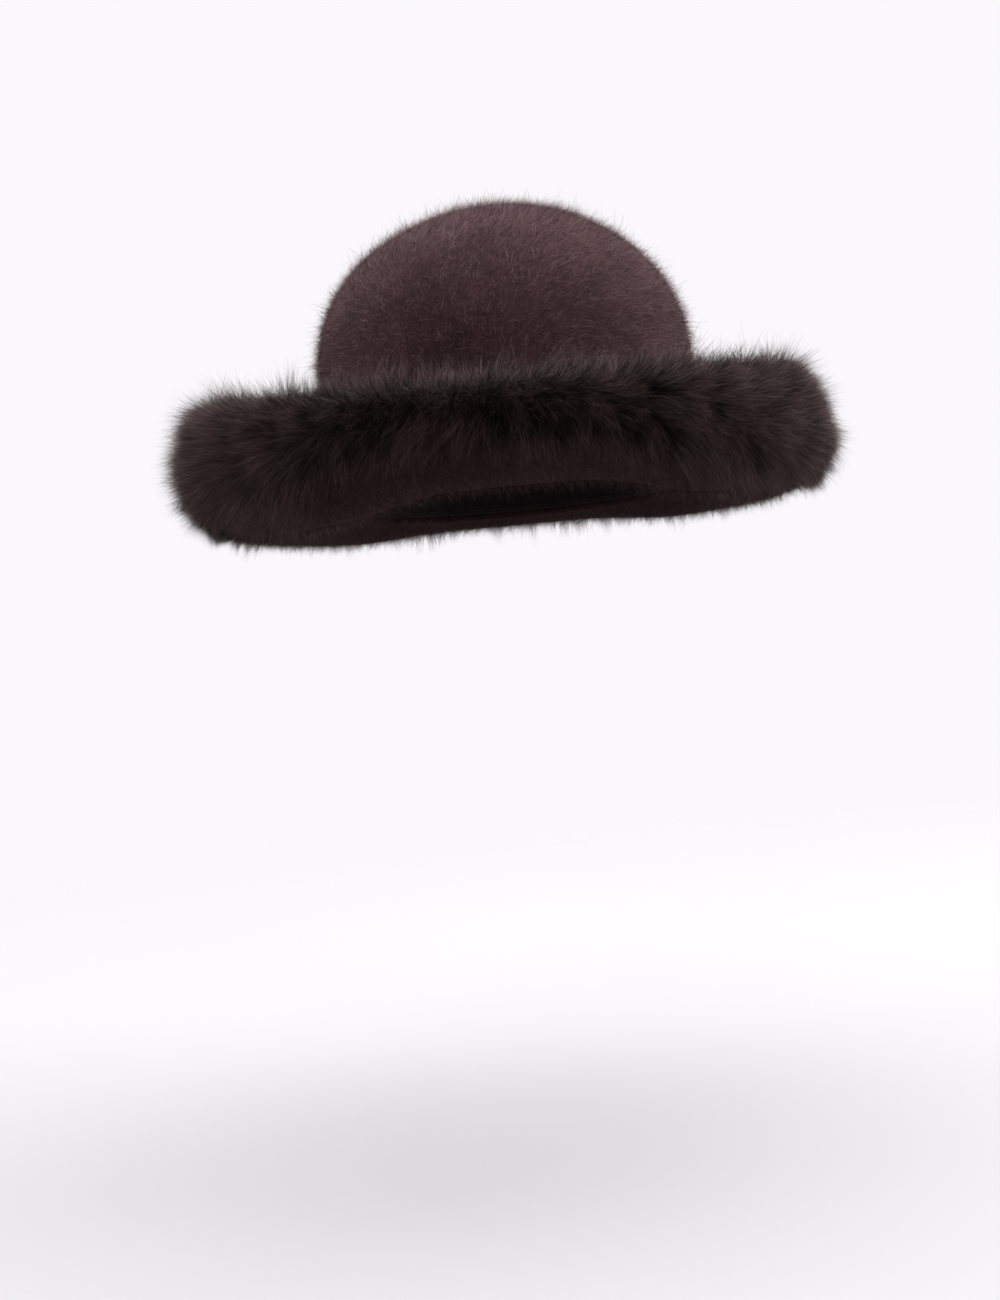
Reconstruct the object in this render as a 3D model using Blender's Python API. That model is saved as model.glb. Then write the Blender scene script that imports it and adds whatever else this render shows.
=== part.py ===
"""Felt bowler hat with a turned-up brim and a fur edge, standing on its brim.

Metres, +Z up, the front towards -Y. Right and left are as seen by someone who faces the
front, so right is +X. The origin is on the table under the middle of the hat, and the crown
stands CROWN_X to one side of it, because the brim reaches further at the left. Every piece is
laid out in upright sections: a section at the angle phi starts on the outer face of the
crown's wall, u runs outwards from it, level and square to the wall, and z is the height
above the table.
"""

import math

import bmesh
import bpy
from mathutils import Vector

# The head opening and the felt.
CROWN_HALF_WIDTH = 0.0850
CROWN_HALF_LENGTH = 0.1005
CROWN_X = 0.0033
FELT = 0.0020
GAP = 0.0003
SECTIONS = 48

# Heights above the table.
HEADLINE = 0.0110
CROWN_TOP = 0.1425
DOME_RISE = 0.0740
DOME_FULLNESS = 2.08

# The brim. Four values are those at the right, back, left and front.
COLLAR_HEIGHT = 0.0090
COLLAR_U = -(FELT + GAP + FELT / 2)
COLLAR_BEND = 0.0024
DIP_REACH = (0.0240, 0.0150, 0.0240, 0.0080)
SIDE_DIP = 0.0100
BACK_DIP = 0.0050
FRONT_DIP = 0.0026
REST_WIDTH = 0.0060
EDGE_REACH = (0.0450, 0.0570, 0.0530, 0.0570)
EDGE_RISE = (0.0360, 0.0330, 0.0410, 0.0290)
EDGE_LEAN = (-28.0, 8.0, -22.0, 18.0)
BELLY_OUT = (0.0235, 0.0280, 0.0305, 0.0280)
BELLY_UP = (0.0320, 0.0180, 0.0330, 0.0160)

# The fur strips, measured from the brim's edge.
FUR_OUTER_WIDTH = (0.0430, 0.0380, 0.0490, 0.0170)
FUR_FRONT_SKEW = 0.0050
FUR_INNER_WIDTH = 0.0260
FUR_GAP = 0.0010
FUR_THICKNESS = 0.0090
FUR_HEM_THICKNESS = 0.0030
FUR_JOINS = (-7.5, 90.0, 187.5)

# Wire, threads, ribbon and lining.
WIRE_RADIUS = 0.00055
JOINER_RADII = (0.00085, 0.00120)
JOINER_HALF_LENGTH = 0.0070
THREAD_RADIUS = 0.00035
STITCH_SWING = 0.0008
STITCH_CLEAR = GAP + 2 * THREAD_RADIUS
CROWN_STITCH_HEIGHT = 0.0045
BAND_STITCH_HEIGHT = 0.0020
FUR_STITCH_AWAY = 0.0022
RIBBON = 0.0008
SWEATBAND_HEIGHT = 0.0250
SATIN = 0.0006
TIP_SLACK = 0.0010
BOW_HALF_LENGTH = 0.0130
BOW_HALF_HEIGHT = 0.00425
BOW_THICKNESS = 0.0012
BOW_MIDDLE = 0.0125
KNOT_AND_LOOP = ((0.17, 0.35), (0.46, 0.75), (0.81, 1.0), (1.0, 0.85), (1.0, 0.3))
LABEL_WIDTH = 0.0140
LABEL_HEIGHT = 0.0180
LABEL_THICKNESS = 0.0005
LABEL_ABOVE_BAND = 0.0020

SWEATBAND_OUTER_U = COLLAR_U - FELT / 2 - GAP
SWEATBAND_INNER_U = SWEATBAND_OUTER_U - RIBBON
LINING_OUTER_U = -(FELT + GAP)
LINING_INNER_U = LINING_OUTER_U - SATIN
DOME_START = CROWN_TOP - DOME_RISE


def clear_scene():
    for item in list(bpy.data.objects):
        bpy.data.objects.remove(item, do_unlink=True)


def material(name, colour, roughness, metallic=0.0):
    made = bpy.data.materials.new(name)
    made.use_nodes = True
    shader = made.node_tree.nodes["Principled BSDF"]
    shader.inputs["Base Color"].default_value = (*colour, 1.0)
    shader.inputs["Roughness"].default_value = roughness
    shader.inputs["Metallic"].default_value = metallic
    return made


def around(phi, values):
    """The value at phi of what is given at the right, back, left and front."""
    right, back, left, front = values
    across = math.cos(phi) ** 2
    along = math.sin(phi) ** 2
    side = right if math.cos(phi) > 0 else left
    end = back if math.sin(phi) > 0 else front
    return across * side + along * end


def fur_width(phi):
    """The strip's outer width. It is wider at the front right than at the front left."""
    skew = -2 * math.cos(phi) * min(math.sin(phi), 0)
    return around(phi, FUR_OUTER_WIDTH) + FUR_FRONT_SKEW * skew


def smooth_step(low, high, value):
    t = min(max((value - low) / (high - low), 0.0), 1.0)
    return t * t * (3 - 2 * t)


def place(phi, u, z):
    """The point of a section, with u measured square to the crown's oval wall."""
    normal = Vector((math.cos(phi) / CROWN_HALF_WIDTH, math.sin(phi) / CROWN_HALF_LENGTH, 0))
    normal.normalize()
    foot = Vector((CROWN_HALF_WIDTH * math.cos(phi), CROWN_HALF_LENGTH * math.sin(phi), z))
    return foot + u * normal


def section_angles(count=SECTIONS):
    return [2 * math.pi * index / count for index in range(count)]


def bezier(ends, count):
    """Points after the first one, along a cubic curve with the four given points."""
    made = []
    for index in range(1, count + 1):
        t = index / count
        weights = ((1 - t) ** 3, 3 * t * (1 - t) ** 2, 3 * t * t * (1 - t), t**3)
        made.append(sum((w * p for w, p in zip(weights, ends)), Vector((0, 0))))
    return made


def brim_dip(phi):
    """How far the brim's lowest line hangs below the headline. It is level along both sides."""
    end = BACK_DIP if math.sin(phi) > 0 else FRONT_DIP
    side = smooth_step(0.05, 0.55, math.cos(phi) ** 2)
    return end + (SIDE_DIP - end) * side


def brim_curve(phi, steps=9):
    """The middle of the felt, from the collar's top edge to the brim's outer edge."""
    bend_u = COLLAR_U + COLLAR_BEND
    points = [Vector((COLLAR_U, HEADLINE + COLLAR_HEIGHT))]
    for angle in (180, 210, 240, 270):
        turn = math.radians(angle)
        step = COLLAR_BEND * Vector((math.cos(turn), math.sin(turn)))
        points.append(Vector((bend_u, HEADLINE)) + step)
    low = HEADLINE - brim_dip(phi)
    reach = around(phi, DIP_REACH)
    start = points[-1]
    rest_in = Vector((reach - REST_WIDTH / 2, low))
    rest_out = Vector((reach + REST_WIDTH / 2, low))
    handle = Vector(((rest_in.x - start.x) / 2, 0))
    points += bezier((start, start + handle, rest_in - handle, rest_in), 3)
    edge = Vector((around(phi, EDGE_REACH), HEADLINE + around(phi, EDGE_RISE)))
    lean = math.radians(around(phi, EDGE_LEAN))
    level = Vector((around(phi, BELLY_OUT), 0))
    upward = around(phi, BELLY_UP) * Vector((math.sin(lean), math.cos(lean)))
    points.append(rest_out)
    points += bezier((rest_out, rest_out + level, edge - upward, edge), steps)
    return points


def offset(points, distance):
    """The same open line moved sideways. A positive distance is to the right of its direction."""
    made = []
    for index, point in enumerate(points):
        before = points[max(index - 1, 0)]
        after = points[min(index + 1, len(points) - 1)]
        first = (point - before).normalized() if index else (after - point).normalized()
        second = (after - point).normalized() if index < len(points) - 1 else first
        square = Vector((first.y + second.y, -first.x - second.x)).normalized()
        spread = max(square.dot(Vector((first.y, -first.x))), 0.5)
        made.append(point + square * distance / spread)
    return made


def edge_line(phi, length, count):
    """Points on the felt's middle line, from a length before the edge up to the edge."""
    fine = brim_curve(phi, 36)
    wanted = [length * (1 - index / count) for index in range(count + 1)]
    made = []
    for distance in wanted:
        left = distance
        index = len(fine) - 1
        while index > 1 and (fine[index] - fine[index - 1]).length < left:
            left -= (fine[index] - fine[index - 1]).length
            index -= 1
        step = fine[index - 1] - fine[index]
        made.append(fine[index] + step.normalized() * left)
    return made


def add_object(name, mesh, finish):
    made = bpy.data.objects.new(name, mesh)
    bpy.context.collection.objects.link(made)
    mesh.materials.append(finish)
    made.parent = HAT
    return made


def finish_mesh(name, shape, finish, crease=40):
    bmesh.ops.remove_doubles(shape, verts=shape.verts, dist=1e-7)
    bmesh.ops.recalc_face_normals(shape, faces=shape.faces)
    if shape.calc_volume(signed=True) < 0:
        bmesh.ops.reverse_faces(shape, faces=shape.faces)
    mesh = bpy.data.meshes.new(name)
    shape.to_mesh(mesh)
    shape.free()
    mesh.shade_smooth()
    mesh.set_sharp_from_angle(angle=math.radians(crease))
    return add_object(name, mesh, finish)


def sweep(name, loops, finish, closed=True):
    """A solid through loops of points. A closed one is a ring, and an open one has two end caps."""
    shape = bmesh.new()
    rings = [[shape.verts.new(point) for point in loop] for loop in loops]
    pairs = list(zip(rings, rings[1:] + rings[:1])) if closed else list(zip(rings, rings[1:]))
    for one, two in pairs:
        for index in range(len(one)):
            after = (index + 1) % len(one)
            shape.faces.new((one[index], one[after], two[after], two[index]))
    if not closed:
        shape.faces.new(rings[0])
        shape.faces.new(rings[-1])
    return finish_mesh(name, shape, finish)


def ring_band(name, inner_u, outer_u, low, high, finish):
    """An upright band round the wall, such as a ribbon or a lining."""
    outline = ((outer_u, low), (outer_u, high), (inner_u, high), (inner_u, low))
    loops = [[place(phi, u, z) for u, z in outline] for phi in section_angles()]
    return sweep(name, loops, finish)


def dome_ring(phi, inset, turn):
    """A point of the dome, inset from the outer face. turn is 0 at its foot and 90 degrees on top."""
    power = 2 / DOME_FULLNESS
    flat = math.cos(turn) ** power
    return Vector((
        (CROWN_HALF_WIDTH - inset) * flat * math.cos(phi),
        (CROWN_HALF_LENGTH - inset) * flat * math.sin(phi),
        DOME_START + (DOME_RISE - inset) * math.sin(turn) ** power,
    ))


def dome_shell(name, outer, inner, walls, steps, finish):
    """A domed shell between two insets. walls are the heights of its rings below the dome."""
    shape = bmesh.new()
    turns = [math.radians(90) * index / steps for index in range(steps)]
    sides = []
    for inset in (outer, inner):
        rings = [[place(phi, -inset, z) for phi in section_angles()] for z in walls]
        rings += [[dome_ring(phi, inset, turn) for phi in section_angles()] for turn in turns]
        made = [[shape.verts.new(point) for point in ring] for ring in rings]
        pole = shape.verts.new((0, 0, DOME_START + DOME_RISE - inset))
        for one, two in zip(made, made[1:]):
            for index in range(SECTIONS):
                after = (index + 1) % SECTIONS
                shape.faces.new((one[index], one[after], two[after], two[index]))
        for index in range(SECTIONS):
            shape.faces.new((made[-1][index], made[-1][(index + 1) % SECTIONS], pole))
        sides.append(made[0])
    for index in range(SECTIONS):
        after = (index + 1) % SECTIONS
        shape.faces.new((sides[0][index], sides[1][index], sides[1][after], sides[0][after]))
    return finish_mesh(name, shape, finish)


def tube_loops(centres, radius, sides, closed=True):
    """Round outlines along a line of points, square to it."""
    loops = []
    for index, centre in enumerate(centres):
        before = centres[index - 1] if closed or index else centre
        after = centres[(index + 1) % len(centres)] if closed or index < len(centres) - 1 else centre
        along = (after - before).normalized()
        side = along.cross(Vector((0, 0, 1))).normalized()
        up = side.cross(along)
        angles = [2 * math.pi * step / sides for step in range(sides)]
        loops.append([centre + radius * (math.cos(a) * side + math.sin(a) * up) for a in angles])
    return loops


def make_crown(felt):
    bottom = HEADLINE + GAP / 3
    walls = [bottom, bottom + (DOME_START - bottom) / 2]
    return dome_shell("crown", 0.0, FELT, walls, 8, felt)


def make_brim(felt):
    loops = []
    for phi in section_angles():
        middle = brim_curve(phi)
        outline = offset(middle, FELT / 2) + offset(middle, -FELT / 2)[::-1]
        loops.append([place(phi, point.x, point.y) for point in outline])
    return sweep("brim", loops, felt)


def hem_swell(index):
    """From 0 at the hem's own point to 1 at the third point from it."""
    return math.sin(math.radians(90) * min(1, index / 3))


def fur_outline(phi):
    """The strip's section: a fold over the brim's edge with the wire in its bend."""
    near = FELT / 2 + FUR_GAP
    outer = offset(edge_line(phi, fur_width(phi), 6), near)[:-1]
    fold = bend_over(phi, near)
    inner = offset(edge_line(phi, FUR_INNER_WIDTH, 4), -near)[:-1]
    skin = outer + fold + inner[::-1]
    swell = [hem_swell(index) for index in range(len(outer))]
    swell += [1.0] * len(fold)
    swell += [hem_swell(index) for index in range(len(inner))][::-1]
    pushed = []
    for index, point in enumerate(skin):
        before = skin[max(index - 1, 0)]
        after = skin[min(index + 1, len(skin) - 1)]
        along = (after - before).normalized()
        depth = FUR_HEM_THICKNESS + (FUR_THICKNESS - FUR_HEM_THICKNESS) * swell[index]
        pushed.append(point + depth * Vector((along.y, -along.x)))
    return skin + pushed[::-1]


def wire_centre(phi):
    edge = brim_curve(phi)
    return edge[-1] + (JOINER_RADII[1] + GAP) * (edge[-1] - edge[-2]).normalized()


def bend_over(phi, radius):
    """A half turn over the edge, from the outer side to the inner side."""
    line = brim_curve(phi)
    along = (line[-1] - line[-2]).normalized()
    square = Vector((along.y, -along.x))
    centre = wire_centre(phi)
    turns = [math.radians(180) * index / 4 for index in range(5)]
    return [centre + radius * (math.cos(t) * square + math.sin(t) * along) for t in turns]


def make_fur(name, start, end, pelt):
    """One strip between two joins, given in degrees, with a small gap to the next one."""
    step = 360 / SECTIONS
    count = round((end - start) / step)
    spare = math.degrees(GAP / (2 * CROWN_HALF_WIDTH))
    angles = [start + step * index for index in range(count + 1)]
    angles[0] += spare
    angles[-1] -= spare
    loops = []
    for angle in angles:
        phi = math.radians(angle)
        loops.append([place(phi, point.x, point.y) for point in fur_outline(phi)])
    return sweep(name, loops, pelt, closed=False)


def wire_point(phi):
    centre = wire_centre(phi)
    return place(phi, centre.x, centre.y)


def make_wire(cotton):
    """A ring of wire whose two ends meet in the joiner at the centre back."""
    step = 360 / SECTIONS
    spare = 0.1
    angles = [90 + spare] + [90 + step * index for index in range(1, SECTIONS)] + [450 - spare]
    centres = [wire_point(math.radians(angle)) for angle in angles]
    return sweep("brim_wire", tube_loops(centres, WIRE_RADIUS, 6, closed=False), cotton, closed=False)


def make_joiner(brass):
    middle = wire_point(math.radians(90))
    step = math.radians(360 / SECTIONS)
    ways = [wire_point(math.radians(90) + turn) - middle for turn in (-step, step)]
    centres = [middle + way.normalized() * JOINER_HALF_LENGTH for way in ways]
    centres.insert(1, middle)
    shape = bmesh.new()
    sides = 8
    walls = []
    for radius in JOINER_RADII:
        loops = tube_loops(centres, radius, sides, closed=False)
        rings = [[shape.verts.new(point) for point in loop] for loop in loops]
        for one, two in zip(rings, rings[1:]):
            for index in range(sides):
                after = (index + 1) % sides
                shape.faces.new((one[index], one[after], two[after], two[index]))
        walls.append(rings)
    for end in (0, -1):
        for index in range(sides):
            after = (index + 1) % sides
            bore, skin = walls[0][end], walls[1][end]
            shape.faces.new((bore[index], bore[after], skin[after], skin[index]))
    return finish_mesh("wire_joiner", shape, brass)


def make_thread(name, point_at, thread):
    """One closed thread. point_at gives its place from an angle and a swing from -1 to 1."""
    count = 2 * SECTIONS
    centres = []
    for index, phi in enumerate(section_angles(count)):
        centres.append(point_at(phi, 1 if index % 2 else -1))
    return sweep(name, tube_loops(centres, THREAD_RADIUS, 3), thread)


def crown_stitch(phi, swing):
    return place(phi, STITCH_CLEAR, HEADLINE + CROWN_STITCH_HEIGHT + swing * STITCH_SWING)


def sweatband_stitch(phi, swing):
    height = HEADLINE + BAND_STITCH_HEIGHT + swing * STITCH_SWING
    return place(phi, SWEATBAND_INNER_U - STITCH_CLEAR, height)


def fur_stitch(phi, swing, width, side):
    """A point just past the strip's hem, on the felt's outer side (1) or inner side (-1)."""
    length = width + FUR_STITCH_AWAY + swing * STITCH_SWING
    ahead = edge_line(phi, length, 1)[0]
    behind = edge_line(phi, length + STITCH_SWING, 1)[0]
    along = (ahead - behind).normalized()
    square = Vector((along.y, -along.x)) * side
    point = ahead + square * (FELT / 2 + GAP + STITCH_CLEAR)
    return place(phi, point.x, point.y)


def outer_fur_stitch(phi, swing):
    return fur_stitch(phi, swing, fur_width(phi), 1)


def inner_fur_stitch(phi, swing):
    return fur_stitch(phi, swing, FUR_INNER_WIDTH, -1)


def wall_plate(name, outline, outer_u, thickness, finish):
    """A flat outline laid on the inside of the back wall. It is (along, height) pairs."""
    loops = []
    for u in (outer_u, outer_u - thickness):
        back = CROWN_HALF_LENGTH + u
        loops.append([Vector((x, back - x * x / (2 * CROWN_HALF_WIDTH**2 / back), z)) for x, z in outline])
    return sweep(name, loops, finish, closed=False)


def bow_outline():
    """Two loops and a knot, as one outline round its middle."""
    middle = HEADLINE + BOW_MIDDLE
    right = [(BOW_HALF_LENGTH * x, BOW_HALF_HEIGHT * y) for x, y in KNOT_AND_LOOP]
    top = [(-x, y) for x, y in right[::-1]] + right
    return [(x, middle + y) for x, y in top] + [(x, middle - y) for x, y in top[::-1]]


def label_outline():
    low = HEADLINE + SWEATBAND_HEIGHT + LABEL_ABOVE_BAND
    half = LABEL_WIDTH / 2
    steps = (-1, -0.33, 0.33, 1)
    return [(half * s, low) for s in steps] + [(half * s, low + LABEL_HEIGHT) for s in steps[::-1]]


clear_scene()
HAT = bpy.data.objects.new("hat", None)
HAT.location.x = CROWN_X
bpy.context.collection.objects.link(HAT)

felt = material("felt", (0.065, 0.034, 0.036), 0.95)
pelt = material("fur", (0.022, 0.018, 0.016), 0.90)
cotton = material("cotton", (0.03, 0.025, 0.025), 0.90)
brass = material("brass", (0.60, 0.42, 0.17), 0.35, 1.0)
ribbon = material("ribbon", (0.025, 0.015, 0.017), 0.75)
satin = material("satin", (0.055, 0.026, 0.031), 0.35)
thread = material("thread", (0.045, 0.026, 0.028), 0.80)
tape = material("tape", (0.62, 0.57, 0.52), 0.85)

make_crown(felt)
make_brim(felt)
for name, start, end in (
    ("fur_front", FUR_JOINS[2], FUR_JOINS[0] + 360),
    ("fur_right", FUR_JOINS[0], FUR_JOINS[1]),
    ("fur_left", FUR_JOINS[1], FUR_JOINS[2]),
):
    make_fur(name, start, end, pelt)
make_wire(cotton)
make_joiner(brass)
ring_band("sweatband", SWEATBAND_INNER_U, SWEATBAND_OUTER_U, HEADLINE, HEADLINE + SWEATBAND_HEIGHT, ribbon)
side_low = HEADLINE + COLLAR_HEIGHT + 2 * GAP
ring_band("lining_side", LINING_INNER_U, LINING_OUTER_U, side_low, DOME_START - GAP, satin)
dome_shell("lining_tip", TIP_SLACK - LINING_OUTER_U, TIP_SLACK - LINING_INNER_U, [], 6, satin)
wall_plate("sweatband_bow", bow_outline(), SWEATBAND_INNER_U - 2 * GAP, BOW_THICKNESS, ribbon)
wall_plate("size_label", label_outline(), LINING_INNER_U - 2 * GAP, LABEL_THICKNESS, tape)
make_thread("crown_stitching", crown_stitch, thread)
make_thread("sweatband_stitching", sweatband_stitch, thread)
make_thread("fur_stitching_outer", outer_fur_stitch, thread)
make_thread("fur_stitching_inner", inner_fur_stitch, thread)
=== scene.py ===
# %% [markdown]
# # A fur-edged felt bowler hat
# The frame holds the hat's solids: a domed crown, a turned-up brim, three fur strips, and
# the ribbon, lining, wire and threads inside. This script gives them their looks. The soft
# surfaces come first, because the whole hat is soft: felt, then fur, then what is inside.

# %% Load the frame
import math

import bmesh
import bpy
from mathutils import Matrix, Vector, noise
from mathutils.bvhtree import BVHTree


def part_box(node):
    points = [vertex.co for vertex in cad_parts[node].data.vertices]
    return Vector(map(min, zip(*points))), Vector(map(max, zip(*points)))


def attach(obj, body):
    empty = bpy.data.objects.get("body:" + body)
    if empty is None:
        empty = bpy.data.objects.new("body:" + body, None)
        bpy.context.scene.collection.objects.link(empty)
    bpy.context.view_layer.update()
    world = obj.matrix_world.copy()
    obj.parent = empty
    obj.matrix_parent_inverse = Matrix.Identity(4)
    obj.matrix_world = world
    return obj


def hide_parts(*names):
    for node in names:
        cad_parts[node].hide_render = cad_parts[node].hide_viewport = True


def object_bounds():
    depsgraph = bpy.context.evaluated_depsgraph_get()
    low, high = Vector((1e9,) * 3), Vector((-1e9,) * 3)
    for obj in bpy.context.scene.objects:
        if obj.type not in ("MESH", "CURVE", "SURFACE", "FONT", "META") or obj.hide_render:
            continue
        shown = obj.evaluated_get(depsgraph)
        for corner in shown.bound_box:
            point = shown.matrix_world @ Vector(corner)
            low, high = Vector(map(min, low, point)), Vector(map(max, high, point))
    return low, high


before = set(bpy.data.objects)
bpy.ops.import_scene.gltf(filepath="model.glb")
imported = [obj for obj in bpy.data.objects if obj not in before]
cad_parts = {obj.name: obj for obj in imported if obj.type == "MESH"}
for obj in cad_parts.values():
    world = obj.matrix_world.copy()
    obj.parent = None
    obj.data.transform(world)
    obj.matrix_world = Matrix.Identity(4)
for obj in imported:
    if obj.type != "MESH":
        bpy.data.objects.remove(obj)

cad_box = [list(corner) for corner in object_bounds()]
# Vector noise takes its offset from the clock unless a seed is set.
noise.seed_set(1)
crown_low, crown_high = (Vector(corner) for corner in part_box("crown"))
MM = 0.001
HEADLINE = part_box("sweatband")[0][2]
CENTRE = Vector(((crown_low.x + crown_high.x) / 2, (crown_low.y + crown_high.y) / 2, 0))
HALF_WIDTH = (crown_high.x - crown_low.x) / 2
HALF_LENGTH = (crown_high.y - crown_low.y) / 2
print("hat box in mm", [[round(v / MM, 1) for v in corner] for corner in cad_box])
print("headline", round(HEADLINE / MM, 1), "mm above the table")

# %% [markdown]
# The camera and the light come first, so that every later step can be looked at. The hat is
# worn with its left side low, so the camera is turned about its own axis by that tilt. It
# stands level, a little below the brim, as someone shorter than the wearer would.

# %% Camera


def placed(name, data):
    """A new object in the scene."""
    made = bpy.data.objects.new(name, data)
    bpy.context.collection.objects.link(made)
    return made


CAMERA_DISTANCE = 0.90
CAMERA_DROP = 0.071
CAMERA_STEP = 0.0078
HAT_TILT = math.radians(5.2)
LENS, SENSOR = 54, 36


def add_camera():
    data = bpy.data.cameras.new("camera")
    data.lens = LENS
    data.sensor_width = SENSOR
    made = placed("camera", data)
    side = CAMERA_STEP * math.cos(HAT_TILT) + CAMERA_DROP * math.sin(HAT_TILT)
    drop = CAMERA_DROP * math.cos(HAT_TILT) - CAMERA_STEP * math.sin(HAT_TILT)
    place = Matrix.Translation((CENTRE.x - side, CENTRE.y - CAMERA_DISTANCE, HEADLINE - drop))
    level = Matrix.Rotation(math.radians(90), 4, "X")
    made.matrix_world = place @ level @ Matrix.Rotation(-HAT_TILT, 4, "Z")
    bpy.context.scene.camera = made


add_camera()

# %% [markdown]
# A display stand would hold the hat well above the table, so the floor lies far below it.
# The room is pale wherever the camera looks, but it doesn't shine evenly: most of its light
# comes from above and behind, less from the front, and little from below, where a stand and
# a table would take it. The pale floor gives back little light for the same reason, and it
# fades into the room with distance, so that no horizon cuts across behind the hat.

# %% Nodes in few words
FLOOR_DROP = 0.28
FLOOR_RADIUS = 9.0


class NodeMaker:
    """Short words for adding and joining nodes in any tree."""

    def __init__(self, tree):
        self.tree = tree

    def wire(self, socket, value):
        """Joins a socket to another node, or sets its value."""
        if isinstance(value, bpy.types.NodeSocket):
            self.tree.links.new(value, socket)
        else:
            socket.default_value = value

    def add(self, kind, settings=None, **joined):
        node = self.tree.nodes.new(kind)
        for key, value in (settings or {}).items():
            setattr(node, key, value)
        for title, value in joined.items():
            self.wire(node.inputs[title.replace("_", " ")], value)
        return node

    def number(self, operation, first, second=0.0, clamp=False):
        node = self.add("ShaderNodeMath", {"operation": operation, "use_clamp": clamp})
        self.wire(node.inputs[0], first)
        self.wire(node.inputs[1], second)
        return node.outputs[0]

    def product(self, first, *others):
        for value in others:
            first = self.number("MULTIPLY", first, value)
        return first

    def vector(self, operation, first, second=None, scale=None):
        node = self.add("ShaderNodeVectorMath", {"operation": operation})
        for title, value in ((0, first), (1, second), ("Scale", scale)):
            if value is not None:
                self.wire(node.inputs[title], value)
        return node.outputs["Value" if operation == "LENGTH" else "Vector"]

    def mapped(self, *values):
        """A value brought from one range to another, with soft ends."""
        node = self.add("ShaderNodeMapRange", {"interpolation_type": "SMOOTHSTEP"})
        for socket, value in zip(node.inputs, values):
            self.wire(socket, value)
        return node.outputs[0]

    def colours(self, factor, first, second):
        node = self.add("ShaderNodeMix", {"data_type": "RGBA"}, Factor=factor)
        self.wire(node.inputs[6], first)
        self.wire(node.inputs[7], second)
        return node.outputs[2]

    def shaders(self, factor, first, second):
        node = self.add("ShaderNodeMixShader", Fac=factor)
        self.wire(node.inputs[1], first.outputs[0])
        self.wire(node.inputs[2], second.outputs[0])
        return node.outputs[0]


class Finish(NodeMaker):
    """A material, with its shader and the place on the piece that its patterns read."""

    def __init__(self, name, **constants):
        self.material = bpy.data.materials.new(name)
        self.material.use_nodes = True
        super().__init__(self.material.node_tree)
        self.shader = self.tree.nodes["Principled BSDF"]
        self.where = self.add("ShaderNodeTexCoord").outputs["Object"]
        self.set(**constants)

    def set(self, **values):
        for title, value in values.items():
            self.wire(self.shader.inputs[title.replace("_", " ")], value)

    def end(self, surface):
        self.wire(self.tree.nodes["Material Output"].inputs["Surface"], surface)


# %% Room
ROOM_SEEN = (0.955, 0.94, 0.962, 1)
ROOM_LIGHT = (1.0, 0.985, 1.0, 1)
FROM_BELOW, FROM_ABOVE = 0.025, 1.15
FROM_FRONT, FROM_BEHIND = 0.42, 1.60
FROM_LEFT, FROM_RIGHT = 0.72, 1.15


def add_room():
    world = bpy.data.worlds.new("room")
    world.use_nodes = True
    room = NodeMaker(world.node_tree)
    seen = room.tree.nodes["Background"]
    seen.inputs["Color"].default_value = ROOM_SEEN
    way = room.add("ShaderNodeTexCoord").outputs["Generated"]
    split = room.add("ShaderNodeSeparateXYZ", Vector=way).outputs
    height = room.mapped(split["Z"], -0.6, 0.35, FROM_BELOW, FROM_ABOVE)
    depth = room.mapped(split["Y"], -1.0, -0.1, FROM_FRONT, FROM_BEHIND)
    side = room.mapped(split["X"], -0.9, 0.9, FROM_LEFT, FROM_RIGHT)
    strength = room.product(height, depth, side)
    shining = room.add("ShaderNodeBackground", Color=ROOM_LIGHT, Strength=strength)
    by_camera = room.add("ShaderNodeLightPath").outputs["Is Camera Ray"]
    surface = room.tree.nodes["World Output"].inputs["Surface"]
    room.wire(surface, room.shaders(by_camera, shining, seen))
    bpy.context.scene.world = world
    bpy.context.scene.view_settings.view_transform = "Standard"


add_room()

# %% Floor
FLOOR_SEEN = ((0.535, 0.525, 0.535, 1), (0.56, 0.55, 0.56, 1))
FLOOR_BOUNCE = (0.065, 0.063, 0.065, 1)
FADE_START, FADE_END = 0.40, 2.0


def floor_finish():
    floor = Finish("pale_floor", Roughness=0.9, Specular_IOR_Level=0.1)
    grain = floor.add("ShaderNodeTexNoise", Vector=floor.where, Scale=2.5).outputs["Fac"]
    by_camera = floor.add("ShaderNodeLightPath").outputs["Is Camera Ray"]
    seen = floor.colours(grain, *FLOOR_SEEN)
    floor.set(Base_Color=floor.colours(by_camera, FLOOR_BOUNCE, seen))
    length = floor.vector("LENGTH", floor.vector("MULTIPLY", floor.where, (1, 1, 0)))
    fade = floor.mapped(length, FADE_START, FADE_END, 0.0, 1.0)
    clear = floor.add("ShaderNodeBsdfTransparent")
    floor.end(floor.shaders(fade, floor.shader, clear))
    return floor.material


def add_floor():
    shape = bmesh.new()
    bmesh.ops.create_circle(shape, cap_ends=True, segments=96, radius=FLOOR_RADIUS)
    mesh = bpy.data.meshes.new("floor")
    shape.to_mesh(mesh)
    shape.free()
    mesh.transform(Matrix.Translation((0, 0, -FLOOR_DROP)))
    made = placed("floor", mesh)
    mesh.materials.append(floor_finish())


add_floor()

# %% Lamps
LAMPS = (
    ("key_lamp", (-0.2, -1.2, 1.6), 0.9, 2.2),
    ("fill_lamp", (1.4, -0.4, 1.3), 0.9, 7),
    ("top_lamp", (0.3, 0.5, 2.0), 2.2, 16),
)
LAMP_AIM = Vector((0, 0, 0.06))


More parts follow.
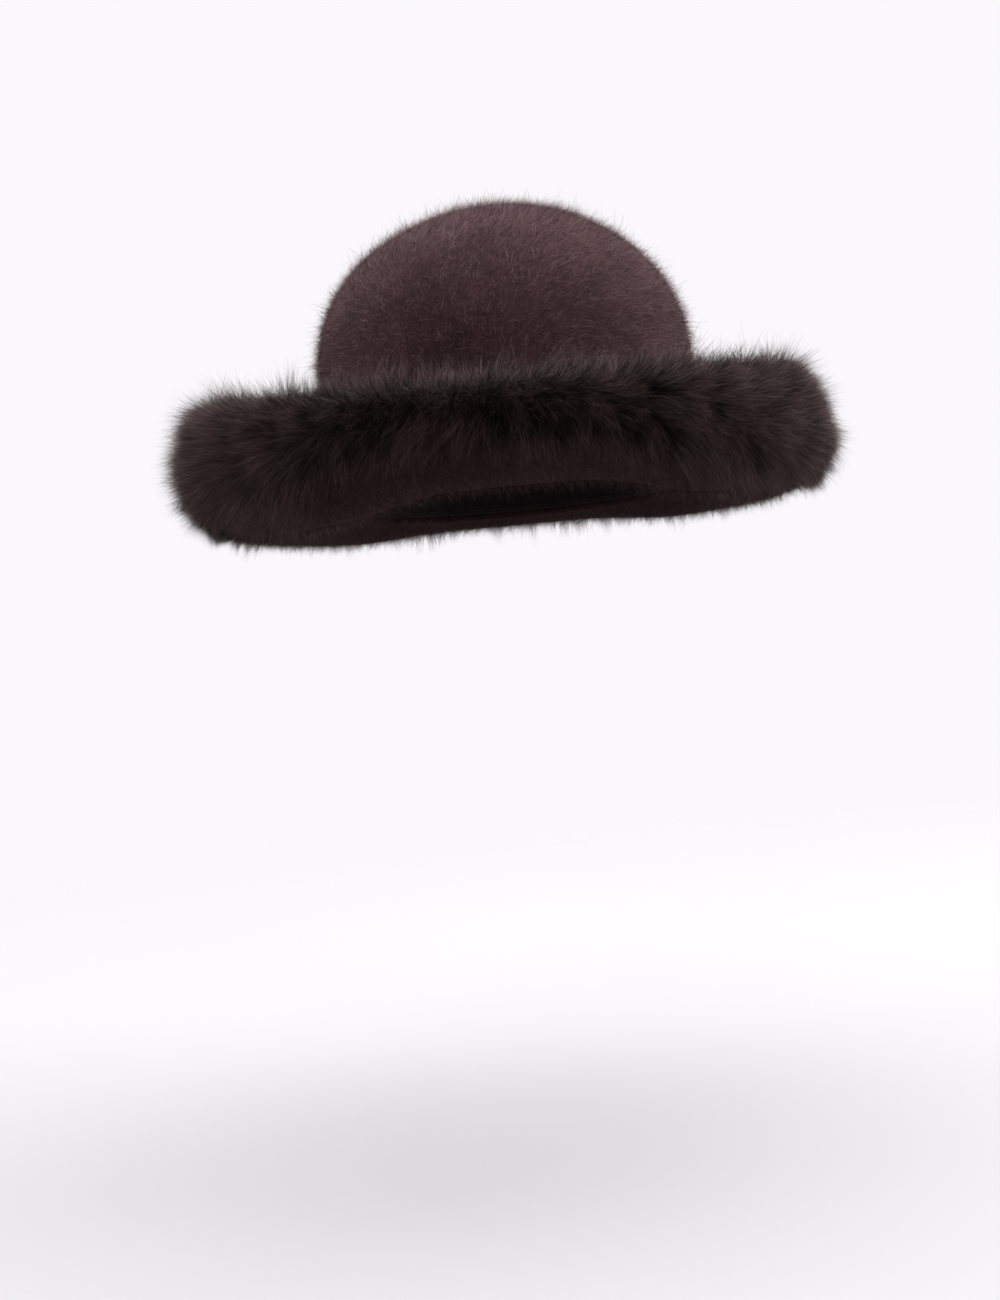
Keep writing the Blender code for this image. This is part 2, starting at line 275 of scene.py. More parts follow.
def add_lamp(name, place, size, power):
    data = bpy.data.lights.new(name, "AREA")
    data.shape = "DISK"
    data.size = size
    data.energy = power
    made = placed(name, data)
    made.location = place
    made.rotation_euler = (LAMP_AIM - Vector(place)).to_track_quat("-Z", "Y").to_euler()


for lamp in LAMPS:
    add_lamp(*lamp)

# %% [markdown]
# The frame's solids are plain, with flat facets. A finer copy keeps their place: the loose
# triangles are merged, paired into quads and subdivided, so that a ring of 48 flat panels
# becomes a smooth curve.

# %% Finer copies of the frame's nodes


def merged(node):
    shape = bmesh.new()
    shape.from_mesh(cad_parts[node].data)
    bmesh.ops.remove_doubles(shape, verts=shape.verts, dist=1e-6)
    bmesh.ops.join_triangles(
        shape,
        faces=shape.faces,
        angle_face_threshold=math.radians(50),
        angle_shape_threshold=math.radians(120),
    )
    return shape


def add_piece(name, shape):
    """Makes a piece of a finished bmesh, smooth shaded, at the origin."""
    mesh = bpy.data.meshes.new(name)
    shape.to_mesh(mesh)
    shape.free()
    mesh.shade_smooth()
    return placed(name, mesh)


def applied(piece):
    """The piece with its modifiers turned into plain mesh."""
    graph = bpy.context.evaluated_depsgraph_get()
    mesh = bpy.data.meshes.new_from_object(piece.evaluated_get(graph), depsgraph=graph)
    piece.modifiers.clear()
    old = piece.data
    piece.data = mesh
    bpy.data.meshes.remove(old)
    return piece


def subdivided(piece, levels):
    smooth = piece.modifiers.new("smooth", "SUBSURF")
    smooth.levels = levels
    smooth.render_levels = levels
    return applied(piece)


def triangle_count(piece):
    piece.data.calc_loop_triangles()
    return len(piece.data.loop_triangles)


def wear_on(piece, slot, *nodes):
    """Every piece of the hat rides on its one body."""
    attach(piece, "root")
    if nodes:
        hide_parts(*nodes)


def dressed(piece, finish, slot, *nodes):
    """Gives a finished piece its one material and puts it on the hat's body; its slot is not used."""
    piece.data.materials.clear()
    piece.data.materials.append(finish)
    wear_on(piece, slot, *nodes)
    return piece


def thickened(piece, thickness, offset):
    """The piece with a wall of this thickness, as plain mesh."""
    wall = piece.modifiers.new("wall", "SOLIDIFY")
    wall.thickness = thickness
    wall.offset = offset
    return applied(piece)


def node_tree_of(node):
    shape = merged(node)
    tree = BVHTree.FromBMesh(shape)
    shape.free()
    return tree


FUR_NODES = ("fur_front", "fur_right", "fur_left")
fur_trees = {node: node_tree_of(node) for node in FUR_NODES}
brim_tree = node_tree_of("brim")


def fur_distance(point):
    return min(tree.find_nearest(point)[3] for tree in fur_trees.values())


# %% [markdown]
# Felt is a mat of fine hairs, so it has no weave. Its colour is a mottle of darker and
# lighter hairs at three scales: single hairs, tufts of a centimetre, and broad cloudy
# patches. Sheen on the shader gives the pale bloom that such a nap has where it is seen
# edge on, and a fine bump breaks the light.

# %% Felt finish
FELT_DARK = (0.017, 0.0078, 0.0080, 1)
FELT_LIGHT = (0.085, 0.038, 0.040, 1)


class Mottled(Finish):
    """A finish whose colour and bump come from one pattern of noises."""

    def noise(self, scale, detail=4.0, rough=0.55, where=None):
        where = self.where if where is None else where
        node = self.add("ShaderNodeTexNoise", Vector=where, Scale=scale, Detail=detail, Roughness=rough)
        return node.outputs["Fac"]

    def ramp(self, value, low, high, dark, light):
        node = self.add("ShaderNodeValToRGB", Fac=value)
        for element, place, colour in zip(node.color_ramp.elements, (low, high), (dark, light)):
            element.position = place
            element.color = colour
        return node

    def weighted(self, *parts):
        """The sum of patterns, each times its weight."""
        total, *others = [self.product(pattern, weight) for pattern, weight in parts]
        for one in others:
            total = self.number("ADD", total, one)
        return total

    def centred(self, value, size):
        """A value from 0 to 1 brought to either side of zero, with this size from end to end."""
        return self.product(self.number("SUBTRACT", value, 0.5), size)

    def mottle(self, pattern, low, high, dark, light, depth, strength=1.0):
        colour = self.ramp(pattern, low, high, dark, light).outputs["Color"]
        bump = self.add("ShaderNodeBump", Height=pattern, Distance=depth, Strength=strength)
        self.set(Base_Color=colour, Normal=bump.outputs["Normal"])
        return self.material


def felt_finish():
    felt = Mottled("long_hair_felt", Roughness=0.95, Specular_IOR_Level=0.2)
    felt.set(Sheen_Weight=0.25, Sheen_Roughness=0.5, Sheen_Tint=(0.80, 0.48, 0.50, 1))
    hairs, tufts, clouds = felt.noise(900, 6, 0.7), felt.noise(130, 5), felt.noise(22, 3)
    pattern = felt.weighted((hairs, 0.5), (tufts, 0.3), (clouds, 0.2))
    return felt.mottle(pattern, 0.36, 0.64, FELT_DARK, FELT_LIGHT, 1.2 * MM, 0.8)


felt = felt_finish()

# %% [markdown]
# The crown is felt pulled over a block by hand and worn since, so it is never quite even. Its
# left shoulder stands out a little and its right one has sunk. The finer copy's points are
# moved by two soft presses, each strongest at its own place.

# %% Crown
DOME_MIDDLE = CENTRE + Vector((0, 0, 0.07))
PRESSES = (
    (Vector((-0.076, 0.0, 0.098)), 0.055, 0.0017),
    (Vector((0.052, 0.0, 0.124)), 0.055, -0.0014),
    (Vector((-0.020, 0.0, 0.142)), 0.060, -0.0006),
)


def press(piece, presses):
    """Moves points out from the crown's middle, or in, near each given place."""
    for vertex in piece.data.vertices:
        flat = vertex.co - CENTRE
        for place, reach, amount in presses:
            apart = math.hypot(flat.x - place.x, (flat.y - place.y) * 0.4, flat.z - place.z)
            near = 1 - apart / reach
            if near > 0:
                way = (vertex.co - DOME_MIDDLE).normalized()
                vertex.co += way * amount * near * near * (3 - 2 * near)


def finer(name, node, levels=2):
    return subdivided(add_piece(name, merged(node)), levels)


crown = finer("crown_felt", "crown")
press(crown, PRESSES)
dressed(crown, felt, "felt", "crown")
print("crown", triangle_count(crown), "triangles")

# %% [markdown]
# The brim is one ring of felt, turned down at the headline and rolled up at its edge. It is
# made as the crown is.

# %% Brim
brim = dressed(finer("brim_felt", "brim"), felt, "felt", "brim")
print("brim", triangle_count(brim), "triangles")

# %% [markdown]
# Hair is what makes this hat. Every hair is the same small shape: a flat tapered blade with a
# few joints, bowed to one side. Geometry Nodes scatters points over a skin and stands a blade
# on each. The blade leaves along the skin's normal and bends towards a comb direction, which
# the skin carries as an attribute, as combed fur does. A broad noise then sways the tips, and
# each tip is drawn towards the middle of its own cell on the skin, so that neighbours keep
# together in soft locks. Last, no hair may leave a box a little larger than the hat. One tree
# serves the fur and the felt's nap.

# %% The blades
# For each blade, the heights of its joints and how far its tip bows out.
BLADES = {
    "down": ((0.0,), 0.0),
    "nap": ((0.0, 0.5), 0.20),
    "guard": ((0.0, 0.40, 0.75), 0.14),
    "stray": ((0.0, 0.25, 0.45, 0.65, 0.82), 0.34),
}
BLADE_TAPER = 0.7


def add_blade(name, joints, bow):
    """A blade one unit tall and one wide, with the height kept in strand."""
    shape = bmesh.new()
    layer = shape.verts.layers.float.new("strand")
    rows = []
    for height in joints:
        half = 0.5 * (1 - BLADE_TAPER * height)
        row = [shape.verts.new((side * half, bow * height * height, height)) for side in (-1, 1)]
        for corner in row:
            corner[layer] = height
        rows.append(row)
    tip = shape.verts.new((0, bow, 1))
    tip[layer] = 1.0
    for low, high in zip(rows, rows[1:]):
        shape.faces.new((low[0], low[1], high[1], high[0]))
    shape.faces.new((rows[-1][0], rows[-1][1], tip))
    return add_piece(name, shape)


blades = {kind: add_blade(f"blade_{kind}", *shape) for kind, shape in BLADES.items()}
blade_size = {kind: triangle_count(blade) for kind, blade in blades.items()}
print("triangles in a blade", blade_size)

# %% Words for building trees
VECTOR = "FLOAT_VECTOR"


class TreeMaker(NodeMaker):
    """A Geometry Nodes tree with named inputs."""

    def __init__(self, name, inputs):
        super().__init__(bpy.data.node_groups.new(name, "GeometryNodeTree"))
        face = self.tree.interface
        face.new_socket("Geometry", in_out="INPUT", socket_type="NodeSocketGeometry")
        for title, kind in inputs:
            face.new_socket(title, in_out="INPUT", socket_type="NodeSocket" + kind)
        face.new_socket("Geometry", in_out="OUTPUT", socket_type="NodeSocketGeometry")
        self.start = self.tree.nodes.new("NodeGroupInput")
        self.stop = self.tree.nodes.new("NodeGroupOutput")

    def __getitem__(self, title):
        """One of the tree's own inputs."""
        return self.start.outputs[title]

    def scaled(self, vector, scale):
        return self.vector("SCALE", vector, scale=scale)

    def summed(self, total, *others):
        for vector in others:
            total = self.vector("ADD", total, vector)
        return total

    def upright(self, height):
        """A vector along Z, or a turn about it."""
        return self.add("ShaderNodeCombineXYZ", Z=height).outputs["Vector"]

    def turned(self, rotation, turn):
        node = self.add("FunctionNodeRotateRotation", {"rotation_space": "LOCAL"}, Rotation=rotation)
        self.wire(node.inputs["Rotate By"], self.upright(turn))
        return node.outputs["Rotation"]

    def stood(self, points, title, **joined):
        """The shape given under this title, stood on points and realized."""
        shape = self.add("GeometryNodeObjectInfo", Object=self[title]).outputs["Geometry"]
        copies = self.add("GeometryNodeInstanceOnPoints", Points=points, Instance=shape, **joined)
        real = self.add("GeometryNodeRealizeInstances", Geometry=copies.outputs["Instances"])
        return real.outputs["Geometry"]

    def attribute(self, name, kind):
        node = self.add("GeometryNodeInputNamedAttribute", {"data_type": kind})
        node.inputs["Name"].default_value = name
        return node.outputs["Attribute"]

    def store(self, geometry, name, value, kind):
        settings = {"data_type": kind, "domain": "POINT"}
        node = self.add("GeometryNodeStoreNamedAttribute", settings, Geometry=geometry, Value=value)
        node.inputs["Name"].default_value = name
        return node.outputs["Geometry"]

    def random(self, low, high, seed, kind="FLOAT"):
        node = self.add("FunctionNodeRandomValue", {"data_type": kind})
        for title, value in (("Min", low), ("Max", high)):
            socket = next(found for found in node.inputs if found.name == title and found.enabled)
            self.wire(socket, value)
        self.wire(node.inputs["Seed"], seed)
        return next(found for found in node.outputs if found.enabled)

    def close(self, geometry):
        done = self.add("GeometryNodeSetMaterial", Geometry=geometry, Material=self["Finish"])
        self.wire(self.stop.inputs["Geometry"], done.outputs["Geometry"])
        return self.tree


def grown(name, guide, tree, sizes):
    """Runs a tree on a guide's mesh and returns the result as a plain mesh piece."""
    sizes = dict(sizes)
    piece = placed(name, guide.data)
    modifier = piece.modifiers.new("tree", "NODES")
    modifier.node_group = tree
    for socket in tree.interface.items_tree:
        title = socket.name.lower().replace(" ", "_")
        if socket.in_out == "INPUT" and title in sizes:
            modifier[socket.identifier] = sizes.pop(title)
    if sizes:
        raise ValueError(f"the tree has no input for {sorted(sizes)}")
    graph = bpy.context.evaluated_depsgraph_get()
    mesh = bpy.data.meshes.new_from_object(piece.evaluated_get(graph), depsgraph=graph)
    piece.modifiers.clear()
    piece.data = mesh
    for spare in ("way", "comb", "long", "thick", "out", "gather"):
        if spare in mesh.attributes:
            mesh.attributes.remove(mesh.attributes[spare])
    print(name, triangle_count(piece), "triangles")
    return piece


# %% The hair tree
HAIR_SIZES = "Density,Length,Shortest,Width,Lift,Mess,Bend,Sway,Sway Scale,Droop,Clump,Clump Scale"
HAIR_INPUTS = [(title, "Float") for title in HAIR_SIZES.split(",")]
HAIR_INPUTS += [("Seed", "Int"), ("Lowest", "Vector"), ("Highest", "Vector")]
HAIR_INPUTS += [("Blade", "Object"), ("Finish", "Material")]
TONE_SEED, SPIN_SEED, LENGTH_SEED = 5, 9, 13


def hair_tree():
    make = TreeMaker("hair", HAIR_INPUTS)
    seed = make["Seed"]
    scatter = make.add(
        "GeometryNodeDistributePointsOnFaces",
        {"distribute_method": "RANDOM"},
        Mesh=make["Geometry"],
        Density=make.product(make["Density"], make.attribute("thick", "FLOAT")),
        Seed=seed,
    )
    normal = scatter.outputs["Normal"]
    comb = make.attribute("comb", VECTOR)
    anywhere = make.random((-1, -1, -1), (1, 1, 1), seed, VECTOR)
    stray = make.scaled(make.vector("CROSS_PRODUCT", normal, anywhere), make["Mess"])
    way = make.summed(make.scaled(normal, make["Lift"]), make.scaled(comb, 0.5), stray)
    kept = make.store(scatter.outputs["Points"], "way", way, VECTOR)
    tone = make.random(0.0, 1.0, make.number("ADD", seed, TONE_SEED))
    kept = make.store(kept, "tone", tone, "FLOAT")
    root = make.add("GeometryNodeInputPosition").outputs["Position"]
    cells = make.add("ShaderNodeTexVoronoi", Vector=root, Scale=make["Clump Scale"])
    inwards = make.vector("SUBTRACT", cells.outputs["Position"], root)
    kept = make.store(kept, "gather", make.scaled(inwards, make["Clump"]), VECTOR)
    lean = make.attribute("way", VECTOR)
    aim = make.add("FunctionNodeAlignRotationToVector", {"axis": "Z"}, Vector=lean)
    spin = make.random(-math.pi, math.pi, make.number("ADD", seed, SPIN_SEED))
    share = make.random(make["Shortest"], 1.0, make.number("ADD", seed, LENGTH_SEED))
    length = make.product(make["Length"], share, make.attribute("long", "FLOAT"))
    size = make.add("ShaderNodeCombineXYZ", X=make["Width"], Y=length, Z=length)
    turn = make.turned(aim.outputs["Rotation"], spin)
    real = make.stood(kept, "Blade", Rotation=turn, Scale=size.outputs["Vector"])
    strand = make.attribute("strand", "FLOAT")
    late = make.product(strand, strand)
    bent = make.scaled(comb, make.product(late, make["Bend"]))
    place = make.add("GeometryNodeInputPosition").outputs["Position"]
    wave = make.add("ShaderNodeTexNoise", Vector=place, Scale=make["Sway Scale"], Detail=2.0)
    swing = make.vector("SUBTRACT", wave.outputs["Color"], (0.5, 0.5, 0.5))
    swayed = make.scaled(swing, make.product(strand, make["Sway"]))
    down = make.upright(make.product(late, make["Droop"], -1.0))
    gathered = make.scaled(make.attribute("gather", VECTOR), late)
    offset = make.summed(bent, swayed, down, gathered)
    hung = make.add("GeometryNodeSetPosition", Geometry=real, Offset=offset).outputs["Geometry"]
    inside = make.vector("MINIMUM", make.vector("MAXIMUM", place, make["Lowest"]), make["Highest"])
    trimmed = make.add("GeometryNodeSetPosition", Geometry=hung, Position=inside)
    return make.close(trimmed.outputs["Geometry"])


hair = hair_tree()
# Hair may stand this share of each side of the hat, and this much more, outside its box.
STAND_SHARE, STAND_MORE = 0.027, 9 * MM
box_low, box_high = (Vector(corner) for corner in cad_box)
stand = (box_high - box_low) * STAND_SHARE + Vector((STAND_MORE,) * 3)
lowest_hair, highest_hair = box_low - stand, box_high + stand
MOST_TRIANGLES = 180_000
SEED_STEP = 31


def skin_area(skin):
    """The area of a skin, each face counted as far as hair is to grow on it."""
    thick = [item.value for item in skin.data.attributes["thick"].data]
    faces = skin.data.polygons
    shares = [sum(thick[i] for i in face.vertices) / len(face.vertices) for face in faces]
    return sum(face.area * share for face, share in zip(faces, shares))


def grow(name, skin, seed, blade, density, **sizes):
    """Grows a coat as several pieces of a size that is easy to handle, each with its own seed."""
    expected = skin_area(skin) * density * blade_size[blade]
    parts = math.ceil(expected / MOST_TRIANGLES)
    sizes.update(blade=blades[blade], density=density / parts, lowest=lowest_hair, highest=highest_hair)
    return [
        grown(f"{name}_{part + 1}", skin, hair, dict(sizes, seed=seed + SEED_STEP * part))
        for part in range(parts)
    ]


# %% [markdown]
# A hair is painted dark at its root: that is painted shade, where its neighbours shade it. It is
# paler towards its tip. Each hair also has a tone of its own, so that a few pale ones stand out,
# and broad patches of the coat differ a little. Fine hair also lets light through, so a
# translucent shader is mixed in: it makes the edges of the hat glow where the bright room is
# behind them.

# %% Hair finishes
GLOW, GLOW_GAMMA = 0.38, 0.62
PATCH_TONE, PALE_FEW = 1.2, 9.0


def hair_finish(name, colours, pale, rough, own_tone, glow=GLOW):
    root, middle, tip = colours
    hair = Mottled(name, Roughness=rough, Specular_IOR_Level=0.15)
    strand, tone = (
        hair.add("ShaderNodeAttribute", {"attribute_name": title}).outputs["Fac"]
        for title in ("strand", "tone")
    )
    # The ramp runs along the strand from root to tip, so its dark end is painted shade at the root.
    shade = hair.number("ADD", strand, hair.centred(tone, own_tone))
    shade = hair.number("ADD", shade, hair.centred(hair.noise(55, 3), PATCH_TONE))
    ramp = hair.ramp(shade, 0.15, 1.0, root, tip)
    ramp.color_ramp.elements.new(0.55).color = middle
    some = hair.number("MULTIPLY", hair.number("POWER", tone, PALE_FEW), strand, clamp=True)
    colour = hair.colours(some, ramp.outputs["Color"], pale)
    lighter = hair.add("ShaderNodeGamma", Color=colour, Gamma=GLOW_GAMMA).outputs["Color"]
    hair.set(Base_Color=colour)
    hair.end(hair.shaders(glow, hair.shader, hair.add("ShaderNodeBsdfTranslucent", Color=lighter)))
    return hair.material


# Each coat's colour at root, middle and tip, and then the colour of its few pale hairs. The dark
# root colours are painted shade.
NAP = ((0.012, 0.0054, 0.0056, 1), (0.038, 0.0170, 0.0178, 1), (0.125, 0.055, 0.058, 1))
# The halo's colours are painted paler than the nap's: painted light for the glow of the fuzz at the
# crown's edges.
HALO = ((0.022, 0.0100, 0.0105, 1), (0.085, 0.042, 0.044, 1), (0.27, 0.145, 0.150, 1))
FUR = ((0.0036, 0.0031, 0.0028, 1), (0.0195, 0.0145, 0.0130, 1), (0.115, 0.060, 0.054, 1))
NAP_PALE, HALO_PALE = (0.42, 0.26, 0.26, 1), (0.52, 0.37, 0.37, 1)
FUR_PALE = (0.34, 0.26, 0.24, 1)
nap_hair = hair_finish("felt_nap", NAP, NAP_PALE, 0.8, 1.3)
# A paler copy of the nap's finish, as painted light at the crown's edges.
halo_hair = hair_finish("felt_halo", HALO, HALO_PALE, 0.7, 1.2, 0.55)
fur_hair = hair_finish("dyed_fur", FUR, FUR_PALE, 0.55, 0.95)

# %% [markdown]
# The nap grows only where felt shows: outside the crown, and on the brim where no fur covers
# it. A mask called thick, kept on the skin's points, switches it off elsewhere. It lies round
# the crown, the way the hat was brushed on the block, and swirls a little.

# %% Nap on the felt
COVERED = 1.8 * MM
BARE_SIDE = 0.2
BARE_ACROSS = 0.985
DOME_START, CROWN_FOOT = 0.068, 1.5 * MM
NAP_TURN, NAP_SWIRL, NAP_FALL = 0.75, 0.85, 0.10
SWIRL_SCALE, UNEVEN_SCALE = 24, 45


def set_values(mesh, name, kind, values):
    layer = mesh.attributes.new(name, kind, "POINT")
    key = "vector" if kind == VECTOR else "value"
    flat = [part for value in values for part in value] if key == "vector" else values
    layer.data.foreach_set(key, flat)


def nap_skin(piece, shows):
    mesh = piece.data.copy()
    skin = bpy.data.objects.new(piece.name + "_skin", mesh)
    points = [(vertex.co.copy(), vertex.normal.copy()) for vertex in mesh.vertices]
    combs = []
    for point, normal in points:
        way = noise.noise_vector(point * SWIRL_SCALE) * NAP_SWIRL
        way += Vector((-point.y, point.x - CENTRE.x, 0)).normalized() * NAP_TURN
        combs.append(way - normal * way.dot(normal) - Vector((0, 0, NAP_FALL)))
    set_values(mesh, "comb", VECTOR, combs)
    set_values(mesh, "thick", "FLOAT", [float(shows(point, normal)) for point, normal in points])
    uneven = [0.8 + 0.6 * abs(noise.noise(point * UNEVEN_SCALE)) for point, _ in points]
    set_values(mesh, "long", "FLOAT", uneven)
    return skin


def outside_crown(point, normal):
    out = Vector((point.x - CENTRE.x, point.y - CENTRE.y, max(point.z - DOME_START, 0)))
    return normal.dot(out) > BARE_SIDE * out.length and point.z > HEADLINE + CROWN_FOOT


def felt_shows(point, normal):
    across = math.hypot((point.x - CENTRE.x) / HALF_WIDTH, (point.y - CENTRE.y) / HALF_LENGTH)
    return (across > BARE_ACROSS or point.z < HEADLINE) and fur_distance(point) > COVERED


crown_skin = nap_skin(crown, outside_crown)
brim_skin = nap_skin(brim, felt_shows)
NAP_COAT = dict(blade="nap", finish=nap_hair, length=4.6 * MM, shortest=0.35, width=0.125 * MM, lift=0.45)
NAP_COAT.update(mess=0.8, bend=1.0 * MM, sway=2.2 * MM, sway_scale=240.0, droop=0.2 * MM)
NAP_COAT.update(clump=0.25, clump_scale=260.0)
HALO_COAT = dict(NAP_COAT, finish=halo_hair, length=7.2 * MM, shortest=0.45, width=0.080 * MM, lift=1.35)
HALO_COAT.update(mess=0.9, sway=4.5 * MM, clump=0.0)
STRAYS = dict(HALO_COAT, blade="stray", length=11.5 * MM, shortest=0.3, width=0.11 * MM, lift=1.1)
STRAYS.update(mess=0.9, sway=5 * MM)
naps = grow("crown_nap", crown_skin, seed=3, density=0.90e6, **NAP_COAT)
naps += grow("brim_nap", brim_skin, seed=4, density=0.42e6, **NAP_COAT)
naps += grow("crown_halo", crown_skin, seed=5, density=0.80e6, **HALO_COAT)
naps += grow("brim_halo", brim_skin, seed=6, density=0.36e6, **HALO_COAT)
naps += grow("crown_strays", crown_skin, seed=8, density=0.055e6, **STRAYS)
for piece in naps:
    wear_on(piece, "felt")

# %% [markdown]
# A fur strip is a narrow pelt: soft leather with hair on one side, folded over the brim's
# edge and sewn down along both hems. In the frame each strip is a solid with its own inner
# face against the felt. Those inner faces are the leather's place, so they are taken out,
# turned to face outwards and smoothed, and the hair stands on them.

# %% Pelts
PELT_REACH = 3.75 * MM
LEATHER = 0.6 * MM


def pelt_skin(node):
    shape = merged(node)
    inner = {vertex for vertex in shape.verts if brim_tree.find_nearest(vertex.co)[3] < PELT_REACH}
    others = [face for face in shape.faces if not all(vertex in inner for vertex in face.verts)]
    bmesh.ops.delete(shape, geom=others, context="FACES")
    bmesh.ops.reverse_faces(shape, faces=shape.faces)
    return subdivided(add_piece(node.replace("fur", "pelt") + "_skin", shape), 2)


pelts = {node: pelt_skin(node) for node in FUR_NODES}

# %% [markdown]
# The comb turns with the height on the strip: upwards in its upper part, outwards in the
# middle and downwards near the lower hem. That leaves the dark line along the middle of the
# front, where the hair parts. In front the upper hair also leans towards the hat's right. The
# hair is longest at the left and short under both sides, but at the two front corners it
# drapes well down over the felt. Both ends are trimmed at the top, so that they round off.

# %% Comb the pelts
BINS = 96
PART_HEIGHT = 0.42
UPPER_PULL, LOWER_PULL, INNER_PULL = 0.75, 0.80, 0.45
FRONT_LEAN = 0.30
PILE = (1.12, 1.02, 1.26, 0.98)
LOWER_PILE = (0.20, 0.42, 0.25, 1.00)
DRAPE, DRAPE_FALL = 1.0, 0.75
HANG, REACH_DOWN = 9 * MM, 20 * MM
SIDE_EASE, RIGHT_DRAPE = 0.6, 0.75
TOP_EASE, TOP_TRIM, LEFT_SHARE = 0.85, 0.45, 0.7
OUT_PULL, DRAPE_OUT = 0.2, 0.5
# Pairs of scale and size, for swirls in the comb and for uneven length.
SWIRLS = ((50, 0.55), (18, 0.40))
TUFTS = ((75, 0.32), (24, 0.24))


def angle_of(point):
    return math.atan2((point.y - CENTRE.y) / HALF_LENGTH, (point.x - CENTRE.x) / HALF_WIDTH)


def out_of_crown(phi):
    return Vector((math.cos(phi) / HALF_WIDTH, math.sin(phi) / HALF_LENGTH, 0)).normalized()


def around(phi, values):
    """The value at phi of what is given at the right, back, left and front."""
    right, back, left, front = values
    side = right if math.cos(phi) > 0 else left
    end = back if math.sin(phi) > 0 else front
    return math.cos(phi) ** 2 * side + math.sin(phi) ** 2 * end


def bin_of(phi):
    return int(phi / (2 * math.pi) * BINS) % BINS


def band_heights():
    """The lowest and highest outer skin at each of the angles round the brim."""
    low, high = [1.0] * BINS, [-1.0] * BINS
    for skin in pelts.values():
        for vertex in skin.data.vertices:
            phi = angle_of(vertex.co)
            if vertex.normal.dot(out_of_crown(phi)) > 0.2:
                low[bin_of(phi)] = min(low[bin_of(phi)], vertex.co.z)
                high[bin_of(phi)] = max(high[bin_of(phi)], vertex.co.z)
    return low, high


band_low, band_high = band_heights()


def comb_pelt(skin):
    mesh = skin.data
    combs, lengths = [], []
    for vertex in mesh.vertices:
        point, normal = vertex.co, vertex.normal
        phi = angle_of(point)
        out = out_of_crown(phi)
        low, high = band_low[bin_of(phi)], band_high[bin_of(phi)]
        share = min(max((point.z - low) / max(high - low, MM), 0), 1)
        outer = normal.dot(out) > 0
        above = (share - PART_HEIGHT) / (1 - PART_HEIGHT)
        below = (PART_HEIGHT - share) / PART_HEIGHT
        side = math.cos(phi) ** 4
        end_top = side * max(above, 0) * (1.0 if math.cos(phi) > 0 else LEFT_SHARE)
        rise = UPPER_PULL * above if share > PART_HEIGHT else -LOWER_PULL * below * (1 - SIDE_EASE * side)
        rise -= TOP_EASE * end_top
        drape = math.sin(2 * phi) ** 4 if math.sin(phi) < 0 else 0.0
        drape *= RIGHT_DRAPE if math.cos(phi) > 0 else 1.0
        low_share = max(1 - share / 0.5, 0) if outer else 0.0
        facing = min(max(0.5 + normal.dot(out), 0), 1)
        way = Vector((0, 0, rise * facing - INNER_PULL * (1 - facing))) + out * OUT_PULL
        way -= (Vector((0, 0, 1)) + out * DRAPE_OUT) * DRAPE_FALL * drape * low_share
        if outer and share > PART_HEIGHT:
            way.x += FRONT_LEAN * max(-math.sin(phi), 0) ** 2
        way += sum((noise.noise_vector(point * scale) * size for scale, size in SWIRLS), Vector())
        combs.append(way - normal * min(way.dot(normal), 0))
        tuft = 1 + sum(noise.noise(point * scale) * size for scale, size in TUFTS)
        lower = around(phi, LOWER_PILE) + DRAPE * drape
        lower = min(lower, (point.z + HANG) / REACH_DOWN)
        pile = around(phi, PILE) * (1 - low_share) + lower * low_share
        lengths.append(pile * tuft * (1 - TOP_TRIM * end_top))
    set_values(mesh, "comb", VECTOR, combs)
    set_values(mesh, "long", "FLOAT", lengths)
    set_values(mesh, "thick", "FLOAT", [1.0] * len(mesh.vertices))


for skin in pelts.values():
    comb_pelt(skin)
print("pelt area in square metres", round(sum(skin_area(skin) for skin in pelts.values()), 4))

# %% [markdown]
# Fur has several coats. A short dense down fills the depth, a middle coat gives the soft
# body, and long guard hairs stand over it. They differ in length, width and liveliness.

# %% Grow the fur
DOWN = dict(blade="down", length=8.5 * MM, shortest=0.5, width=0.18 * MM, lift=1.0, mess=0.45)
DOWN.update(bend=1.5 * MM, sway=1.5 * MM, clump=0.15, density=3.8e6)
MIDDLE = dict(blade="nap", length=12.5 * MM, shortest=0.6, width=0.13 * MM, lift=0.95, mess=0.40)
MIDDLE.update(bend=4.0 * MM, sway=4.0 * MM, clump=0.50, density=2.1e6)
GUARD = dict(blade="nap", length=16.0 * MM, shortest=0.55, width=0.14 * MM, lift=0.90, mess=0.45)
GUARD.update(bend=6.0 * MM, sway=6.0 * MM, clump=0.65, density=1.35e6)
STRAY = dict(blade="stray", length=20 * MM, shortest=0.6, width=0.10 * MM, lift=0.9, mess=0.7)
STRAY.update(bend=6.0 * MM, sway=9.0 * MM, clump=0.1, density=0.04e6)
COATS = {"down": DOWN, "middle": MIDDLE, "guard": GUARD, "stray": STRAY}
SHARED = dict(sway_scale=95.0, clump_scale=115.0, finish=fur_hair)
DROOP_SHARE = 0.25


def leather_finish():
    skin = Mottled("pelt_leather", Roughness=0.85)
    dark, light = (0.006, 0.005, 0.005, 1), (0.016, 0.012, 0.011, 1)
    return skin.mottle(skin.noise(600, 5), 0.35, 0.7, dark, light, 0.4 * MM)


def make_strip(node):
    strip = placed(node.replace("fur", "pelt"), pelts[node].data.copy())
    dressed(thickened(strip, LEATHER, 1.0), leather, "fur", node)


leather = leather_finish()
for number, node in enumerate(FUR_NODES):
    make_strip(node)
    for coat, (title, sizes) in enumerate(COATS.items()):
        sizes = dict(sizes, droop=DROOP_SHARE * sizes["bend"], **SHARED)
        for piece in grow(f"{node}_{title}", pelts[node], seed=40 + 7 * number + 3 * coat, **sizes):
            wear_on(piece, "fur")

